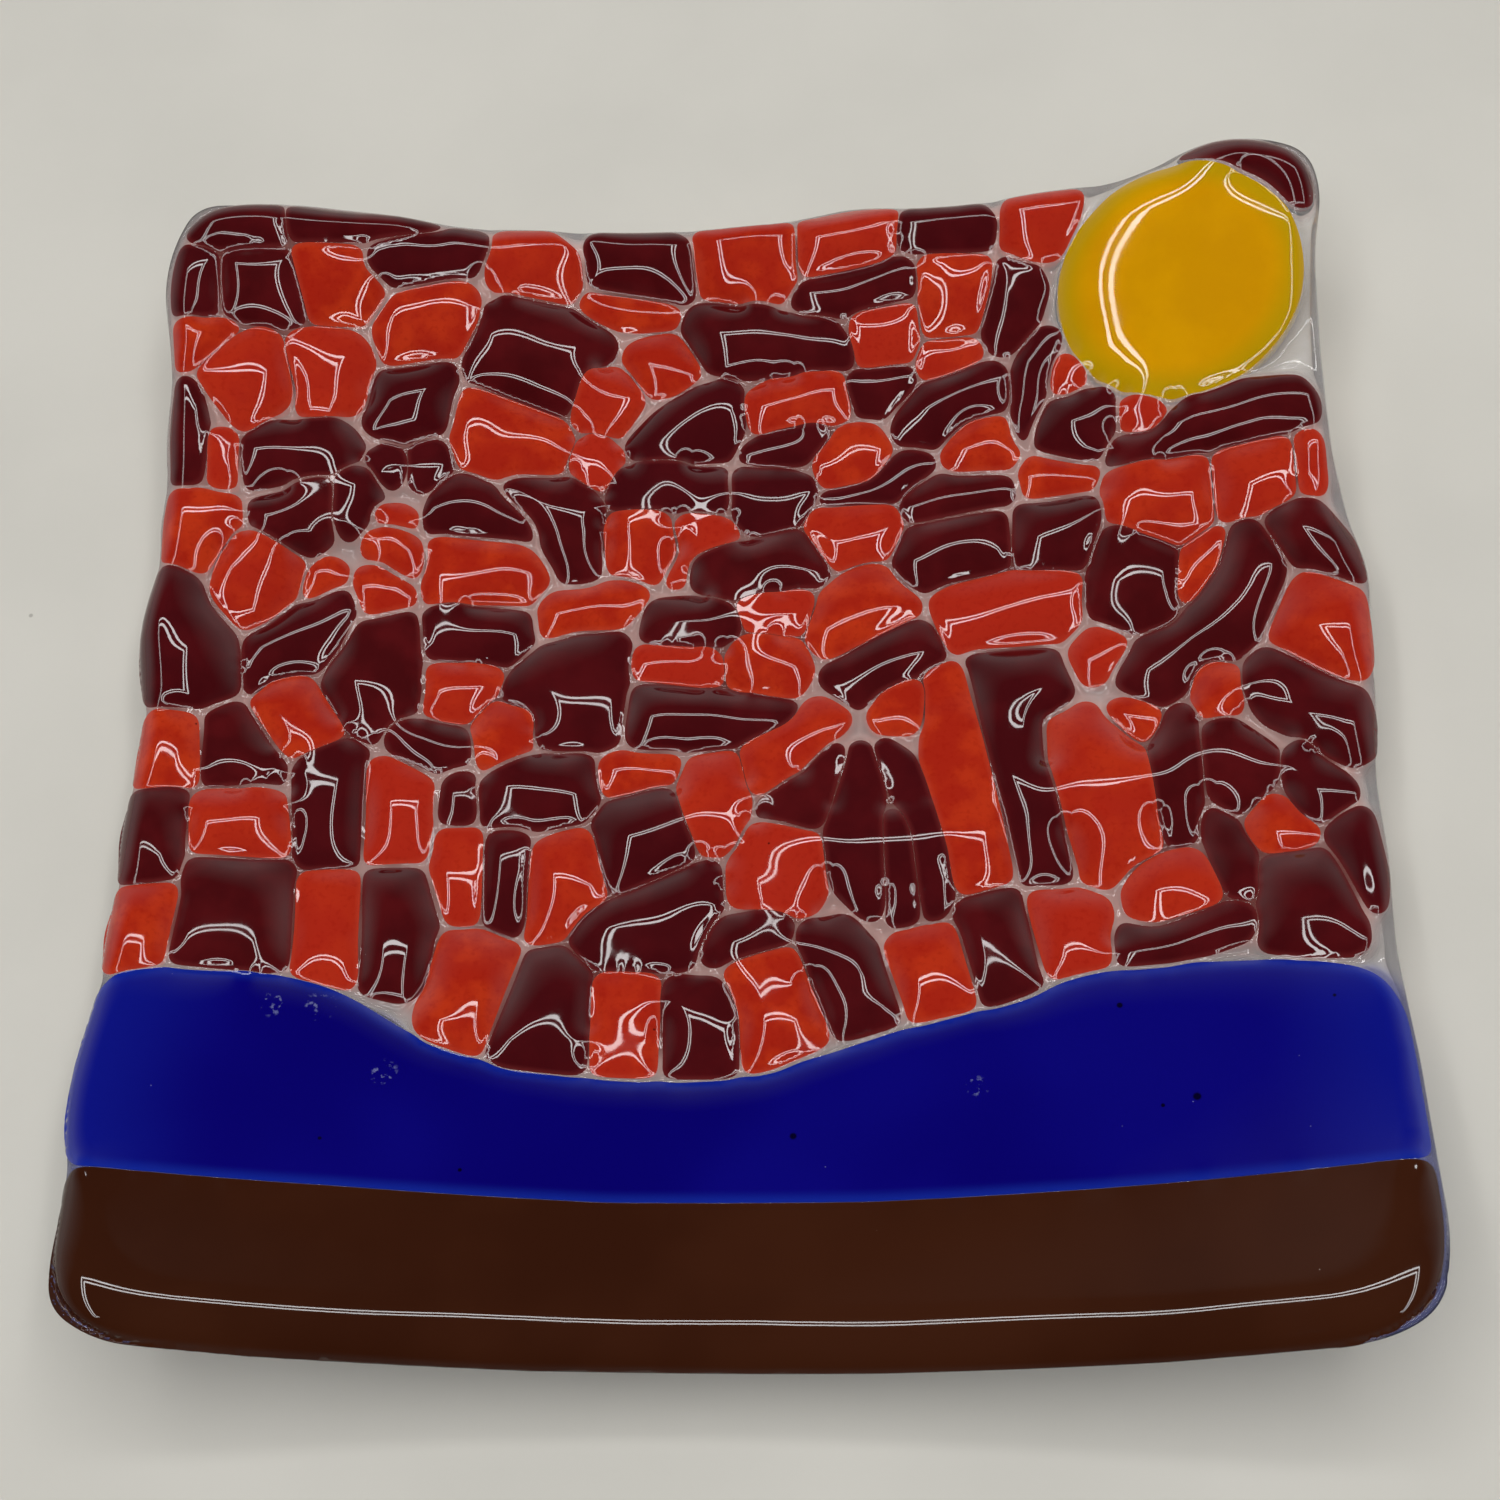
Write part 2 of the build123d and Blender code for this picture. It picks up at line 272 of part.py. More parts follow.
# ---- outlines ----
def inset(corners, margin):
    """The same corners with every side moved inwards by the margin."""
    points = [Vector(*corner) for corner in corners]
    sides = list(zip(points, points[1:] + points[:1]))
    doubled_area = sum(a.X * b.Y - b.X * a.Y for a, b in sides)
    inward = 1 if doubled_area > 0 else -1
    moved = []
    for (a, b), (_, c) in zip([sides[-1]] + sides[:-1], sides):
        before, after = (b - a).normalized(), (c - b).normalized()
        square_before = Vector(-before.Y, before.X) * inward
        square_after = Vector(-after.Y, after.X) * inward
        bisector = square_before + square_after
        moved.append(b + bisector * (2 * margin / bisector.length**2))
    return [(point.X, point.Y) for point in moved]


def rounded_outline(corners, most_radius):
    """A flat face with the given corners, each rounded as far as its two sides leave room."""
    points = [Vector(*corner) for corner in corners]
    turns = []
    for before, corner, after in zip(points[-1:] + points[:-1], points, points[1:] + points[:1]):
        arriving, leaving = (corner - before).normalized(), (after - corner).normalized()
        turn = math.acos(max(-1, min(1, arriving.dot(leaving))))
        room = SIDE_SHARE * min((corner - before).length, (after - corner).length)
        setback = min(most_radius * math.tan(turn / 2), room)
        radius = setback / math.tan(turn / 2)
        depth = radius * (1 / math.cos(turn / 2) - 1)
        crown = corner + (leaving - arriving).normalized() * depth
        turns.append((corner - arriving * setback, crown, corner + leaving * setback))
    with BuildSketch() as sketch:
        with BuildLine():
            for (start, crown, end), (next_start, _, _) in zip(turns, turns[1:] + turns[:1]):
                ThreePointArc(start, crown, end)
                Line(end, next_start)
        make_face()
    return sketch.sketch


def sun_corners():
    """The corners of the nibbled disc, evenly spread in angle."""
    step = 2 * math.pi / len(SUN_RADII)
    x, y = SUN_CENTRE
    return [(x + radius * math.cos(i * step), y + radius * math.sin(i * step))
            for i, radius in enumerate(SUN_RADII)]


# ---- glass pieces ----
def upright(outline):
    """A solid that stands on the outline and passes right through the dish."""
    below_foot = 1
    return extrude(Pos(0, 0, -below_foot) * outline, WORK_HEIGHT)


def upper_edges(piece):
    """The edges around the top of a piece that lies on the base sheet."""
    tops = piece.faces().filter_by(lambda face: face.normal_at(face.center()).Z > UPWARD)
    return tops.edges()


def base_sheet(above_foot, above_base):
    """The clear sheet, with its cut edge fire-polished round."""
    sheet = upright(rounded_outline(BASE_OUTLINE, FLOWED_RADIUS)) & above_foot - above_base
    rim = sheet.faces().filter_by(lambda face: abs(face.normal_at(face.center()).Z) < SIDEWAYS)
    return fillet(rim.edges().filter_by(Axis.Z, reverse=True), RIM_EDGE)


def panel(corners, coloured_layer):
    """A large piece of even thickness that follows the curve of the base sheet."""
    piece = upright(rounded_outline(corners, FLOWED_RADIUS)) & coloured_layer
    return fillet(upper_edges(piece), PANEL_EDGE)


def chip(corners, above_base):
    """A small piece that melted to a cushion: its top is part of a ball, square to the base sheet."""
    corners = inset(corners, SEAM / 2)
    x, y = (sum(values) / len(corners) for values in zip(*corners))
    reach = max(math.dist((x, y), corner) for corner in corners)
    ball_radius = reach**2 / (2 * CUSHION_DROP)
    top, square = surface_point(x, y, BASE_THICKNESS + PIECE_THICKNESS)
    ball = Pos(*(top - square * ball_radius)) * Rot(0, 90, 0) * Sphere(ball_radius)
    cushion = upright(rounded_outline(corners, CORNER_RADIUS)) & ball & above_base
    return fillet(upper_edges(cushion), CHIP_EDGE)


def cell_name(colour, corners):
    """The node that a chip belongs to, from where its middle lies in the chip field."""
    left, front, right, back = CHIP_FIELD
    x, y = (sum(values) / len(corners) for values in zip(*corners))
    band = 1 + int(BANDS * (y - front) / (back - front))
    column = 1 + int(COLUMNS * (x - left) / (right - left))
    return f"{colour}_chips_band{band}_column{column}"


# ---- assembly ----
above_foot = space_above(0)
above_base = space_above(BASE_THICKNESS)
coloured_layer = above_base - space_above(BASE_THICKNESS + PIECE_THICKNESS)

nodes = {
    "clear_base_sheet": [base_sheet(above_foot, above_base)],
    "brown_ground_strip": [panel(BROWN_OUTLINE, coloured_layer)],
    "blue_wave_panel": [panel(BLUE_OUTLINE, coloured_layer)],
    "yellow_sun_disc": [panel(sun_corners(), coloured_layer)],
}
for colour, chips in (("red", RED_CHIPS), ("maroon", MAROON_CHIPS)):
    for corners in chips:
        nodes.setdefault(cell_name(colour, corners), []).append(chip(corners, above_base))

os.makedirs("parts", exist_ok=True)
for name, pieces in nodes.items():
    solids = [solid for piece in pieces for solid in piece.solids()]
    export_step(Compound(children=solids, label=name), f"parts/{name}.step")
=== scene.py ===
import math

import bmesh
import bpy
import numpy as np
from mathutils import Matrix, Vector
from mathutils.geometry import delaunay_2d_cdt


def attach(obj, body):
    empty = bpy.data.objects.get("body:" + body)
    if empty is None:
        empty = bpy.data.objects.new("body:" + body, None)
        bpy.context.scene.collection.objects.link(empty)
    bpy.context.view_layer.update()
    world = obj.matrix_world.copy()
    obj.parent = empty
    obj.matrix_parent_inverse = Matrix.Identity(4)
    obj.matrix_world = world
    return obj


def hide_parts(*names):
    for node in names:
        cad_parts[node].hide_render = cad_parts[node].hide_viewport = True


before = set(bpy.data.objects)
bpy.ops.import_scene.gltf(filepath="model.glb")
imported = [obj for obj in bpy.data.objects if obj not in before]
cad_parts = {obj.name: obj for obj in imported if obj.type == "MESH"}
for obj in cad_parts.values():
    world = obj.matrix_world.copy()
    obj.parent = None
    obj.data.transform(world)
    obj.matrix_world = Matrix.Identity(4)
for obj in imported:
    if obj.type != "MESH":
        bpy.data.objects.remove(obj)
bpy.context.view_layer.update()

# A dish of fused art glass. The CAD nodes give the outline of every piece of glass. Here the pieces
# get the surface that they have after the kiln: one continuous skin that swells over each piece and
# sinks into a rounded valley between neighbours. Lengths are in millimetres, unless they say metres.
MM = 0.001

# ---- the dish, as in the CAD model ----
FOOT_RADIUS = 30.0       # flat middle
CURVE_RADIUS = 240.0     # radius of the underside beyond it
BASE_THICKNESS = 3.0     # clear base sheet
PIECE_THICKNESS = 3.0    # coloured glass on it

# ---- how the glass has flowed ----
GRID_STEP = 0.25         # spacing of the height map
GRID_HALF = 108.0        # half the width of the height map
COARSE = 2               # distances are measured at every second point of the height map
SEED = 7                 # of the random ripples, swells and tones
REACH = 2.5              # how far beyond a piece its surroundings are looked at
SEAM = 0.35              # width of the seams between pieces
SEAM_VARIES = 0.35       # how much that varies from place to place
SEAM_LEAST = 0.12        # width of the narrowest seams
SEAM_RIPPLE = 9.0        # over this distance the width of the seams changes
CORNER_BLUR = 0.8        # how far the corners of the pieces are rounded
SEAM_LEVEL = 2.0         # height of the skin above the base sheet in a seam
SEAM_UNEVEN = 0.9        # how much that varies from place to place
LEVEL_RIPPLE = 14.0      # over this distance that level changes
LEVEL_LEAST = 0.6        # the lowest and highest that it gets
LEVEL_MOST = 3.6
MERGED_ABOVE = 0.7       # where this ripple is higher, the skin flows across the seams
MERGED_SEAM = 0.4        # half the width of the seams that it flows across
MERGED_RIPPLE = 11.0     # width of the patches where it does
PANEL_REACH = 2.4        # seams this near two panels stay level with them
CALM_BLUR = 2.0          # how gently a seam gets level beside a panel or the disc
MENISCUS = 1.2           # over this distance the skin sinks towards a clear patch
RELAX_STEPS = 110        # steps of the relaxation
OVERSHOOT = 1.85         # how far each step of the relaxation goes beyond the mean
SKIN_BLUR = 0.6          # how far the seams themselves are rounded
SEAM_DEPTH = 0.06        # how far the clear glass in a seam lies below its neighbours
TUCK = 0.15              # how far the clear skin reaches over a piece's edge before it dives
DIVE = 1.5               # slope at which it dives under the piece
SUNK = 0.5               # how far the pieces have sunk into the base sheet
BESIDE_BLUR = 2.2         # how far the chips and panels reach into the clear glass beside them, for its painted light and the ripples
BASE_EDGE = 2.6          # rounding of the base sheet's lower edge
OUTLINE_STEP = 0.5       # spacing of points round a piece
BASE_STEP = 0.4          # spacing of points on the base sheet
BASE_HALF = 100.0        # half the width of the base sheet, to the nearest centimetre
EDGE_SPACE = 0.55        # points on a piece stay this share of their spacing from its outline

# How far from the rim the rings of points on the underside lie: close together round the rounded edge,
# and further apart towards the foot.
UNDER_RINGS = (0.15, 0.5, 1.0, 1.7, BASE_EDGE, 4.5, 8, 14, *range(20, 93, 8))

# For each kind of piece: how far it has spread, the height that a very wide one would swell to and
# how much that varies, the distance over which its edge rounds off, how unevenly it lies (as a
# slope), and the spacing of points on top.
SHAPES = {
    "red": dict(spread=1.2, swell=2.7, uneven=0.6, reach=5.0, tilt=0.06, step=0.55),
    "maroon": dict(spread=1.2, swell=3.0, uneven=0.6, reach=5.0, tilt=0.06, step=0.55),
    "yellow": dict(spread=0.8, swell=1.5, uneven=0.0, reach=4.8, tilt=0.0, step=0.6),
    "blue": dict(spread=0.7, swell=0.0, uneven=0.0, reach=4.0, tilt=0.0, step=0.8),
    "brown": dict(spread=1.2, swell=0.0, uneven=0.0, reach=4.0, tilt=0.0, step=0.6),
}
CHIPS = ("red", "maroon")
PANELS = ("blue", "brown")
RIM_LIFT = 1.6           # height above the underside at which the skin meets the rim
RIM_EDGE = 5.0           # width over which the skin rolls down to the rim
FRONT_EDGE = 9.5         # the same along the brown strip
FRONT_EDGE_FROM = -72.0  # y at which the wider roll starts
FRONT_EDGE_TO = -88.0    # y at which it is fully there
RIM_BLUR = 5.0           # the roll follows the rim no closer than this
OVERHANG = 0.15          # how far pieces at the front reach past the base sheet's rim
BACK_MARGIN = 1.2        # width of the clear rim left beside the chips at the back
BACK_FROM = 10.0         # y at which that rim starts
BACK_TO = 50.0           # y at which it has its full width
RIGHT_MARGIN = 0.9       # width of the clear rim at the right of the panels
RIGHT_FROM = 85.0        # x at which that rim starts
RIGHT_TO = 95.0          # x at which it has its full width
WAVINESS = 0.12          # height of the faint ripples in the skin over the chips
WAVE_RIPPLE = 6.0        # and their width

# Marks in the blue panel: x, y and radius.
SEEDS = ((8, -67, 0.7), (58, -48, 0.6), (68, -64, 0.8), (63, -65, 0.4), (-42, -72, 0.4))
SMUDGES = ((-73, -45, 2.5), (-66, -45, 3.0), (-55, -56, 2.5), (36, -60, 2.0))


# ---- outlines, read from the CAD nodes ----
def closed_lines(pairs):
    """The closed lines that a set of pairs of neighbouring points makes."""
    linked = {}
    for pair in pairs:
        for point, other in (pair, pair[::-1]):
            linked.setdefault(point, []).append(other)
    lines = []
    while linked:
        point = next(iter(linked))
        line = []
        while point in linked:
            line.append(point)
            onward = [other for other in linked.pop(point) if other in linked]
            point = onward[0] if onward else None
        lines.append(np.array(line))
    return lines


def outlines(node):
    """The outline of each solid in a CAD node seen from above: where its upright wall starts."""
    upright = 0.03      # the normal of an upright wall rises or falls less than this
    same_place = 1e-6   # metres
    mesh = bmesh.new()
    mesh.from_mesh(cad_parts[node].data)
    bmesh.ops.remove_doubles(mesh, verts=mesh.verts, dist=same_place)
    mesh.normal_update()
    lower = []
    for edge in mesh.edges:
        heights = sorted(face.normal.z for face in edge.link_faces)
        if len(heights) == 2 and heights[0] <= -upright < heights[1] < upright:
            lower.append(tuple((vert.co.x / MM, vert.co.y / MM) for vert in edge.verts))
    mesh.free()
    return closed_lines(lower)


def signed_area(line):
    """The area inside a closed line, negative if the line runs clockwise."""
    ahead = np.roll(line, -1, axis=0)
    return np.sum(line[:, 0] * ahead[:, 1] - ahead[:, 0] * line[:, 1]) / 2


def in_angle_order(points):
    """Points round the middle of the dish, anticlockwise."""
    return points[np.argsort(np.arctan2(points[:, 1], points[:, 0]))]


def even_line(line, spacing):
    """The same line anticlockwise, with its points an even distance apart and its corners softened."""
    line = line if signed_area(line) > 0 else line[::-1]
    closed = np.vstack([line, line[:1]])
    along = np.concatenate([[0], np.cumsum(np.hypot(*np.diff(closed, axis=0).T))])
    where = np.linspace(0, along[-1], int(along[-1] / spacing), endpoint=False)
    even = np.column_stack([np.interp(where, along, closed[:, axis]) for axis in (0, 1)])
    return (np.roll(even, 1, axis=0) + 2 * even + np.roll(even, -1, axis=0)) / 4


def depth_inside(points, line):
    """How far each point lies inside a closed line, negative outside it."""
    ahead = np.roll(line, -1, axis=0)
    side = ahead - line
    nearest = np.full(len(points), np.inf)
    crossings = np.zeros(len(points), int)
    for start, step, end in zip(line, side, ahead):
        offset = points - start
        share = np.clip(offset @ step / (step @ step), 0, 1)
        nearest = np.minimum(nearest, np.sum((offset - share[:, None] * step) ** 2, axis=1))
        spans = (start[1] > points[:, 1]) != (end[1] > points[:, 1])
        if step[1]:
            crossings += spans & (points[:, 0] < start[0] + offset[:, 1] * step[0] / step[1])
    return np.where(crossings % 2, 1, -1) * np.sqrt(nearest)


# ---- the height map ----
def profile(radius, lift):
    """Height of the surface that lies the given distance above the dish's underside."""
    run = np.maximum(radius - FOOT_RADIUS, 0)
    return CURVE_RADIUS - np.sqrt((CURVE_RADIUS - lift) ** 2 - run**2)


def blurred(field, radius):
    """A grid field after a Gaussian blur of the given radius."""
    reach = int(3 * radius / GRID_STEP)
    weights = np.exp(-0.5 * (np.arange(-reach, reach + 1) * GRID_STEP / radius) ** 2)
    weights /= weights.sum()
    for axis in (0, 1):
        field = np.moveaxis(field, axis, 0)
        padded = np.pad(field, ((reach, reach), (0, 0)), mode="edge")
        field = sum(weight * padded[i:i + len(field)] for i, weight in enumerate(weights))
        field = np.moveaxis(field, 0, axis)
    return field


def sampled(field, points):
    """The value of a grid field at each point, between the grid's own points."""
    place = (points + GRID_HALF) / GRID_STEP
    low = np.clip(place.astype(int), 0, len(field) - 2)
    x, y = (place - low).T
    i, j = low.T
    return ((field[j, i] * (1 - x) + field[j, i + 1] * x) * (1 - y)
            + (field[j + 1, i] * (1 - x) + field[j + 1, i + 1] * x) * y)


def smooth_noise(random, size):
    """Random ripples of about the given width, one value for each point of the grid."""
    ripples = blurred(random.standard_normal((len(grid_line), len(grid_line))), size / 2)
    return ripples / ripples.std()


def quarter_round(depth, width):
    """From 0 at an edge, steeply and then ever more gently, to 1 at the given depth."""
    return np.sqrt(1 - (1 - np.clip(depth / width, 0, 1)) ** 2)


def between(value, start, end):
    """From 0 at the start to 1 at the end."""
    return np.clip((value - start) / (end - start), 0, 1)


def finer(field, rows, columns):
    """A field known at every COARSE-th point of the grid, filled in between."""
    for axis, count in ((0, rows), (1, columns)):
        field = np.moveaxis(field, axis, 0)
        place = np.arange(count) / COARSE
        low = np.minimum(place.astype(int), len(field) - 2)
        share = (place - low)[:, None]
        field = np.moveaxis(field[low] * (1 - share) + field[low + 1] * share, 0, axis)
    return field


def depth_map(window, line):
    """depth_inside for each grid point of a window."""
    x, y = grid_x[window], grid_y[window]
    rows, columns = x.shape
    coarse_x, coarse_y = x[::COARSE, ::COARSE], y[::COARSE, ::COARSE]
    points = np.column_stack([coarse_x.ravel(), coarse_y.ravel()])
    return finer(depth_inside(points, line).reshape(coarse_x.shape), rows, columns)


def zero_line(field, window):
    """The longest closed line along which a field is zero in a window of the grid."""
    inside = field > 0
    together = inside[:-1, :-1] & inside[1:, :-1] & inside[:-1, 1:] & inside[1:, 1:]
    apart = inside[:-1, :-1] | inside[1:, :-1] | inside[:-1, 1:] | inside[1:, 1:]

    def crossing(a, b):
        share = field[a] / (field[a] - field[b])
        x = a[1] + (b[1] - a[1]) * share + window[1].start
        y = a[0] + (b[0] - a[0]) * share + window[0].start
        return x * GRID_STEP - GRID_HALF, y * GRID_STEP - GRID_HALF

    pairs = []
    for j, i in np.argwhere(apart & ~together).tolist():
        corners = [(j, i), (j, i + 1), (j + 1, i + 1), (j + 1, i)]
        sides = zip(corners, corners[1:] + corners[:1])
        ends = [crossing(*sorted(side)) for side in sides if inside[side[0]] != inside[side[1]]]
        pairs += zip(ends[::2], ends[1::2])
    return max(closed_lines(pairs), key=len)


def relaxed(height, target, reach, free):
    """Heights after surface tension: a free point settles near its neighbours and its target."""
    pull = (GRID_STEP / reach) ** 2
    odd = np.indices(height.shape).sum(0) % 2 == 1
    for _ in range(RELAX_STEPS):
        for turn in (free & odd, free & ~odd):
            around = (np.roll(height, 1, 0) + np.roll(height, -1, 0)
                      + np.roll(height, 1, 1) + np.roll(height, -1, 1))
            settled = (around + pull * target) / (4 + pull)
            height = np.where(turn, height + OVERSHOOT * (settled - height), height)
    return height


grid_line = np.arange(-GRID_HALF, GRID_HALF + GRID_STEP / 2, GRID_STEP)
grid_x, grid_y = np.meshgrid(grid_line, grid_line)
grid_radius = np.hypot(grid_x, grid_y)
random = np.random.default_rng(SEED)

base_outline = even_line(in_angle_order(np.vstack(outlines("clear_base_sheet"))), OUTLINE_STEP)
rim_depth = depth_map((slice(None), slice(None)), base_outline)

# How deep each grid point lies inside each piece, negative outside it, and the greatest and next
# greatest of these depths at each point. panels_near counts the panels close by, and calm is 1 near
# a panel or the disc.
pieces = []
deepest = np.full_like(grid_x, -REACH)
next_deepest = np.full_like(grid_x, -REACH)
panels_near = np.zeros_like(grid_x)
calm = np.zeros_like(grid_x)
for node in sorted(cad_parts):
    kind = node.split("_")[0]
    if kind not in SHAPES:
        continue
    for line in outlines(node):
        line = even_line(line, OUTLINE_STEP)
        low = ((line.min(0) - REACH + GRID_HALF) / GRID_STEP).astype(int)
        high = ((line.max(0) + REACH + GRID_HALF) / GRID_STEP).astype(int) + 1
        window = (slice(low[1], high[1]), slice(low[0], high[0]))
        depth = depth_map(window, line)
        next_deepest[window] = np.maximum(next_deepest[window], np.minimum(deepest[window], depth))
        deepest[window] = np.maximum(deepest[window], depth)
        if kind in PANELS:
            panels_near[window] += depth > -PANEL_REACH
        if kind not in CHIPS:
            calm[window] = np.maximum(calm[window], depth > -PANEL_REACH)
        pieces.append(dict(node=node, kind=kind, middle=line.mean(0), window=window, depth=depth))

back_margin = between(grid_y, BACK_FROM, BACK_TO) * (BACK_MARGIN + OVERHANG) - OVERHANG
right_margin = between(grid_x, RIGHT_FROM, RIGHT_TO) * (RIGHT_MARGIN + OVERHANG) - OVERHANG

# Each piece has spread until it meets its neighbours, but for a narrow seam. inner is the depth inside
# the spread pieces, target is the height that the skin is drawn to, and reach is how far an edge is
# felt. warm and cold are 1 on the chips and on the panels.
seam = np.maximum(SEAM + SEAM_VARIES * smooth_noise(random, SEAM_RIPPLE), SEAM_LEAST)
seam = np.where(panels_near == 2, SEAM_LEAST, seam)
inner = np.full_like(grid_x, -REACH)
target = np.full_like(grid_x, PIECE_THICKNESS + SHAPES["red"]["swell"])
reach = np.full_like(grid_x, SHAPES["red"]["reach"])
warm = np.zeros_like(grid_x)
cold = np.zeros_like(grid_x)
for piece in pieces:
    shape, window, depth = SHAPES[piece["kind"]], piece["window"], piece["depth"]
    other = np.where(depth >= deepest[window], next_deepest[window], deepest[window])
    spread = np.minimum(depth + shape["spread"], (depth - other - seam[window]) / 2)
    margin = back_margin if piece["kind"] in CHIPS else right_margin
    spread = blurred(np.minimum(spread, rim_depth[window] - margin[window]), CORNER_BLUR)
    piece["outline"] = even_line(zero_line(spread, window), OUTLINE_STEP)
    inner[window] = np.maximum(inner[window], spread)
    lean = random.normal(0, shape["tilt"], 2)
    x, y = grid_x[window] - piece["middle"][0], grid_y[window] - piece["middle"][1]
    swell = shape["swell"] + random.normal(0, shape["uneven"])
    full = PIECE_THICKNESS + swell + x * lean[0] + y * lean[1]
    target[window] = np.where(spread > 0, full, target[window])
    reach[window] = np.where(spread > 0, shape["reach"], reach[window])
    if piece["kind"] in CHIPS:
        warm[window] = np.where(spread > 0, 1, warm[window])
    if piece["kind"] in PANELS:
        cold[window] = np.where(spread > 0, 1, cold[window])
    piece["tone"] = random.random()

# In a seam the skin has a level of its own, which sinks towards a clear patch. On a piece, and where
# it has flowed across a seam, it settles.
uneven = SEAM_UNEVEN * (1 - blurred(calm, CALM_BLUR))
level = SEAM_LEVEL + uneven * smooth_noise(random, LEVEL_RIPPLE)
level = np.clip(level, LEVEL_LEAST, LEVEL_MOST)
level = np.where(panels_near == 2, PIECE_THICKNESS, level) * np.exp(np.minimum(inner, 0) / MENISCUS)
flowing = smooth_noise(random, MERGED_RIPPLE) > MERGED_ABOVE
merged = flowing & (inner > -MERGED_SEAM) & (panels_near == 0)
thickness = blurred(relaxed(level, target, reach, merged | (inner > 0)), SKIN_BLUR)
# beside_chips and beside_panels say how near the chips and the panels are: the clear glass takes its
# painted light from them, and the chips' ripples fade with the first.
beside_chips = blurred(warm, BESIDE_BLUR)
beside_panels = blurred(cold, BESIDE_BLUR)
thickness = np.maximum(thickness + WAVINESS * smooth_noise(random, WAVE_RIPPLE) * beside_chips, 0)
to_front = between(grid_y, FRONT_EDGE_FROM, FRONT_EDGE_TO)
edge_width = RIM_EDGE + (FRONT_EDGE - RIM_EDGE) * to_front
rim_share = quarter_round(blurred(rim_depth, RIM_BLUR), edge_width)
under_piece = np.maximum(thickness - SEAM_DEPTH - DIVE * np.maximum(inner - TUCK, 0), 0)


def rolled(lift):
    """A lift above the underside, brought down to the rim's own lift at the rim."""
    return RIM_LIFT + (lift - RIM_LIFT) * rim_share


skin_lift = rolled(BASE_THICKNESS + thickness)
skin_height = profile(grid_radius, skin_lift)
clear_height = profile(grid_radius, rolled(BASE_THICKNESS + under_piece))


def slopes(height):
    """How steeply a height map rises along x and along y."""
    along_y, along_x = np.gradient(height, GRID_STEP)
    return along_x, along_y


skin_slopes = slopes(skin_height)
clear_slopes = slopes(clear_height)


def surface_normals(height_slopes, points):
    """Unit normals of a height map at the given points."""
    normals = np.ones((len(points), 3))
    normals[:, 0] = -sampled(height_slopes[0], points)
    normals[:, 1] = -sampled(height_slopes[1], points)
    return normals / np.linalg.norm(normals, axis=1)[:, None]


# ---- meshes ----
def new_object(name, points, faces, normals, values):
    """A smooth mesh object. points are in millimetres; values holds a number per point by name."""
    mesh = bpy.data.meshes.new(name)
    mesh.from_pydata((points * MM).tolist(), [], [tuple(face) for face in faces])
    mesh.shade_smooth()
    mesh.normals_split_custom_set_from_vertices(normals.tolist())
    for value_name, numbers in values.items():
        attribute = mesh.attributes.new(value_name, "FLOAT", "POINT")
        attribute.data.foreach_set("value", np.asarray(numbers, np.float32))
    thing = bpy.data.objects.new(name, mesh)
    bpy.context.scene.collection.objects.link(thing)
    return thing


def inside_points(line, step):
    """Points in staggered rows that fill an outline."""
    low, high = line.min(0), line.max(0)
    rows = []
    for i, y in enumerate(np.arange(low[1], high[1], step * math.sqrt(3) / 2)):
        x = np.arange(low[0] + step / 2 * (i % 2), high[0], step)
        rows.append(np.column_stack([x, np.full(len(x), y)]))
    points = np.vstack(rows)
    return points[depth_inside(points, line) > EDGE_SPACE * step]


def filled(line, step):
    """Triangles that fill an outline: their points, faces, and the places of the outline's points."""
    loose = np.vstack([line, inside_points(line, step)])
    ring = [(i, (i + 1) % len(line)) for i in range(len(line))]
    same_place = 1e-5
    keep_inside = 1
    flat, _, faces, origins, _, _ = delaunay_2d_cdt(
        [Vector(point) for point in loose], ring, [], keep_inside, same_place)
    place = {origin: i for i, group in enumerate(origins) for origin in group}
    points = np.array([(p.x, p.y) for p in flat])
    return points, [list(face) for face in faces], [place[i] for i in range(len(line))]


def piece_mesh(piece):
    """The points, faces and normals of one closed piece of coloured glass: its top is the skin, and
    it is sunk into the base."""
    flat, faces, ring = filled(piece["outline"], SHAPES[piece["kind"]]["step"])
    radius = np.hypot(*flat.T)
    top = sampled(skin_height, flat)
    bottom = profile(radius, np.minimum(BASE_THICKNESS, sampled(skin_lift, flat)) - SUNK)
    points = np.vstack([np.column_stack([flat, top]), np.column_stack([flat, bottom])])
    count = len(flat)
    walls = []
    for a, b in zip(ring, ring[1:] + ring[:1]):
        walls += [(a, a + count, b + count), (a, b + count, b)]
    under = [[count + i for i in reversed(face)] for face in faces]
    normals = surface_normals(skin_slopes, flat)
    away = np.column_stack([flat / np.maximum(radius, 1)[:, None], np.full(count, -1.0)])
    away /= np.linalg.norm(away, axis=1)[:, None]
    return points, faces + under + walls, np.vstack([normals, away])


def coloured_node(node):
    """All pieces of one CAD node as one object."""
    points, faces, normals, tones = [], [], [], []
    count = 0
    for piece in pieces:
        if piece["node"] == node:
            new_points, new_faces, new_normals = piece_mesh(piece)
            points.append(new_points)
            faces += [[count + i for i in face] for face in new_faces]
            normals.append(new_normals)
            tones.append(np.full(len(new_points), piece["tone"]))
            count += len(new_points)
    points = np.vstack(points)
    values = dict(depth=sampled(inner, points[:, :2]), rim=sampled(rim_depth, points[:, :2]),
                  tone=np.concatenate(tones))
    return new_object(node + "_glass", points, faces, np.vstack(normals), values)


